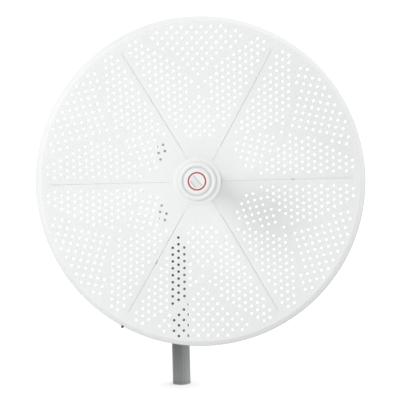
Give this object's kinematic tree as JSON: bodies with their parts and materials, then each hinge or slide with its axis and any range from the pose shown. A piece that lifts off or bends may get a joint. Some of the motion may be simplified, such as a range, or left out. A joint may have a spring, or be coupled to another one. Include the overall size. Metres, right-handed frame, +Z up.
{
  "type": "perforated microwave dish antenna with tilting bracket on a tubular mast",
  "caption": "Round perforated dish of radial petals with a central feed, on a tilting bracket clamped to a tubular mast.",
  "frame": {"origin": "centre of the bottom face of the disc that closes the mast's foot", "axes": "+Z up along the mast, -Y the way the dish looks, +X to the right as seen from in front of the dish"},
  "size_m": [0.649, 0.4405, 0.777],
  "materials": {
    "mast": "weathered grey galvanised steel tube",
    "mast_cap": "black moulded plastic",
    "bracket": "galvanised sheet steel",
    "casting": "grey powder-coated die casting",
    "bolts": "zinc-plated steel",
    "petals": "white powder coat on perforated sheet",
    "feed": "white moulded plastic"
  },
  "bodies": {
    "mast": {"mast_tube": "mast", "mast_foot_disc": "mast", "mast_cap": "mast_cap"},
    "mast_clamp": {"mast_bracket": "bracket", "clamp_saddle_upper": "casting", "clamp_saddle_lower": "casting", "clamp_jaw_upper": "casting", "clamp_jaw_lower": "casting", "clamp_bolt_upper_left": "bolts", "clamp_bolt_upper_right": "bolts", "clamp_bolt_lower_left": "bolts", "clamp_bolt_lower_right": "bolts"},
    "dish": {"dish_bracket": "bracket", "tilt_pivot_bolt": "bolts", "tilt_lock_bolt_upper": "bolts", "tilt_lock_bolt_lower": "bolts", "hub_casting": "casting", "socket_left": "bolts", "socket_right": "bolts", "petal_1": "petals", "petal_2": "petals", "petal_3": "petals", "petal_4": "petals", "petal_5": "petals", "petal_6": "petals", "seam_clip_1": "casting", "seam_clip_2": "casting", "seam_clip_3": "casting", "seam_clip_4": "casting", "seam_clip_5": "casting", "seam_clip_6": "casting", "feed_collar": "feed", "feed_tube": "feed", "feed_horn": "feed", "feed_disc": "feed", "feed_button": "feed"}
  },
  "joints": [
    {"name": "azimuth_turn", "type": "hinge", "parent": "mast", "child": "mast_clamp", "pos_m": [0, 0, 0.452], "axis": [0, 0, 1], "continuous": true},
    {"name": "elevation_tilt", "type": "hinge", "parent": "mast_clamp", "child": "dish", "pos_m": [0.06, -0.086, 0.452], "axis": [-1, 0, 0], "range_deg": [-20, 20]}
  ]
}
